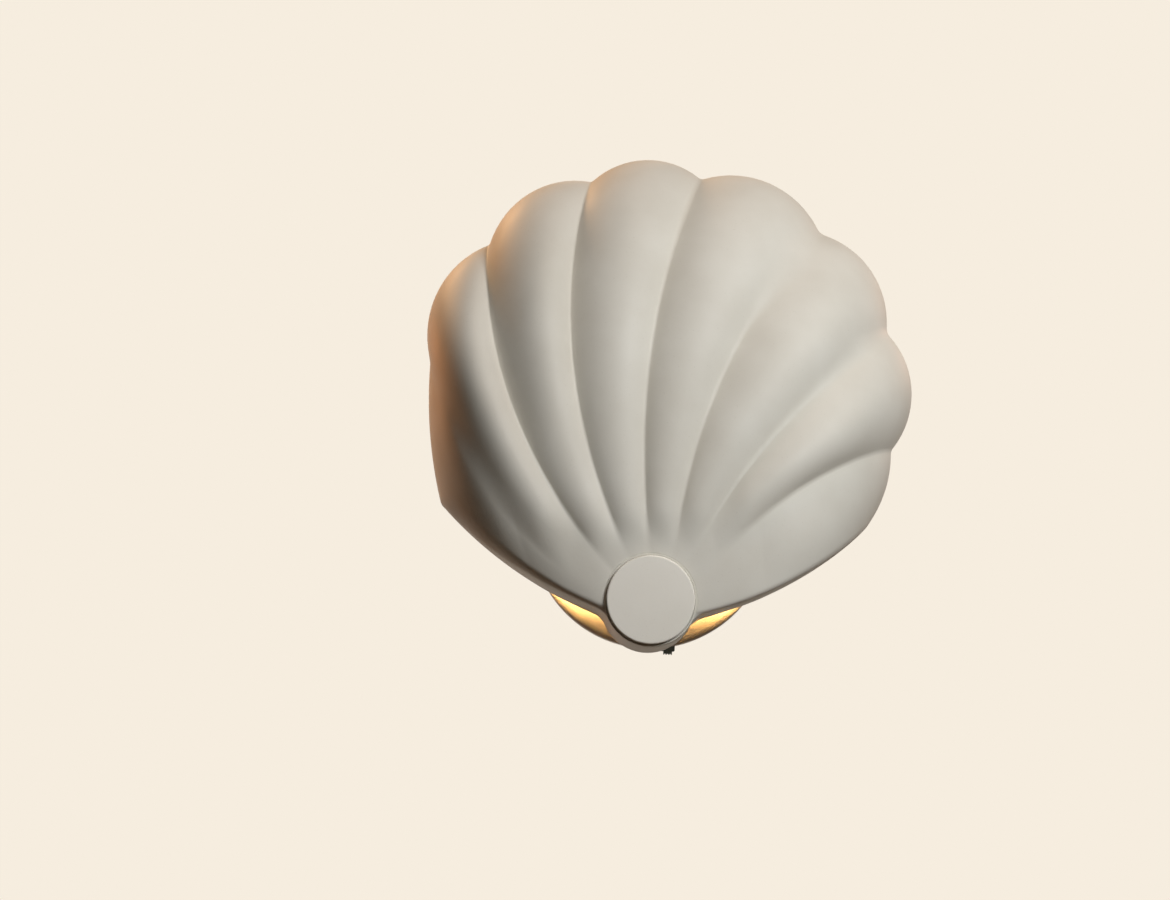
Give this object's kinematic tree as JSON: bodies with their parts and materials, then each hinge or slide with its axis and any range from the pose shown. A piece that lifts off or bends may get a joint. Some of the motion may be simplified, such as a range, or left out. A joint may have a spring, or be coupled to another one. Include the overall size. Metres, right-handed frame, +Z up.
{
  "type": "wall sconce",
  "caption": "Shell-shaped ceramic shade standing off a round wall canopy, with a bulb hidden behind it and a small slide switch below.",
  "frame": {"origin": "middle of the round canopy, on the wall, midway between the wall bracket's slots", "axes": "+Z up, wall in the XZ plane, the lamp's front faces -Y, +X to the viewer's right"},
  "size_m": [0.2628, 0.0919, 0.2686],
  "materials": {
    "shade_ceramic": "matt bisque",
    "cap_ceramic": "matt bisque",
    "canopy_paint": "satin",
    "zinc_steel": "zinc plated",
    "brass": "satin",
    "magnet_nickel": "nickel plated",
    "rubber_black": "matt",
    "rubber_grey": "matt",
    "terminal_plastic": "matt",
    "holder_plastic": "satin",
    "switch_plastic": "satin",
    "knob_plastic": "satin",
    "lead_blue": "satin",
    "lead_brown": "satin",
    "bulb_opal": "opal",
    "bulb_white": "satin",
    "board_white": "matt"
  },
  "bodies": {
    "root": {"shade_post": "zinc_steel", "spacer_sleeve": "zinc_steel", "cushion_washer": "rubber_grey", "locating_pin": "zinc_steel", "post_nut": "zinc_steel", "post_washer": "zinc_steel", "canopy": "canopy_paint", "wall_bracket": "zinc_steel", "side_screws": "zinc_steel", "cable_bush": "rubber_black", "earth_screw": "brass", "earth_washer": "brass", "terminal_block": "terminal_plastic", "terminal_inserts": "brass", "terminal_screws": "zinc_steel", "lead_bush": "rubber_black", "neutral_lead": "lead_blue", "live_lead": "lead_brown", "switched_lead": "lead_brown", "holder_bracket": "zinc_steel", "holder_screws": "zinc_steel", "holder_screw_nuts": "zinc_steel", "holder_nipple": "zinc_steel", "nipple_nut": "zinc_steel", "lamp_holder": "holder_plastic", "thread_sleeve": "brass", "centre_contact": "brass", "switch_body": "switch_plastic"},
    "shade": {"shell_shade": "shade_ceramic", "cap_steel_ring": "zinc_steel", "shade_washer": "zinc_steel"},
    "cap": {"cap_disc": "cap_ceramic", "cap_magnets": "magnet_nickel"},
    "fixing_nut": {"shade_nut": "zinc_steel"},
    "bulb": {"bulb_cap": "zinc_steel", "bulb_collar": "bulb_white", "bulb_globe": "bulb_opal", "bulb_led_board": "board_white"},
    "switch_knob": {"switch_knob": "knob_plastic"}
  },
  "joints": [
    {"name": "shade_lift_off", "type": "slide", "parent": "root", "child": "shade", "axis": [0, -1, 0], "range_m": [0, 0.1]},
    {"name": "cap_pull", "type": "slide", "parent": "shade", "child": "cap", "axis": [0, -1, 0], "range_m": [0, 0.03]},
    {"name": "nut_turn", "type": "hinge", "parent": "shade", "child": "fixing_nut", "pos_m": [0, -0.083, -0.043], "axis": [0, -1, 0], "continuous": true},
    {"name": "bulb_turn", "type": "hinge", "parent": "root", "child": "bulb", "pos_m": [0, -0.048, 0.06], "axis": [0, 0, 1], "continuous": true},
    {"name": "switch_slide", "type": "slide", "parent": "root", "child": "switch_knob", "axis": [-1, 0, 0], "range_m": [0, 0.005]}
  ]
}
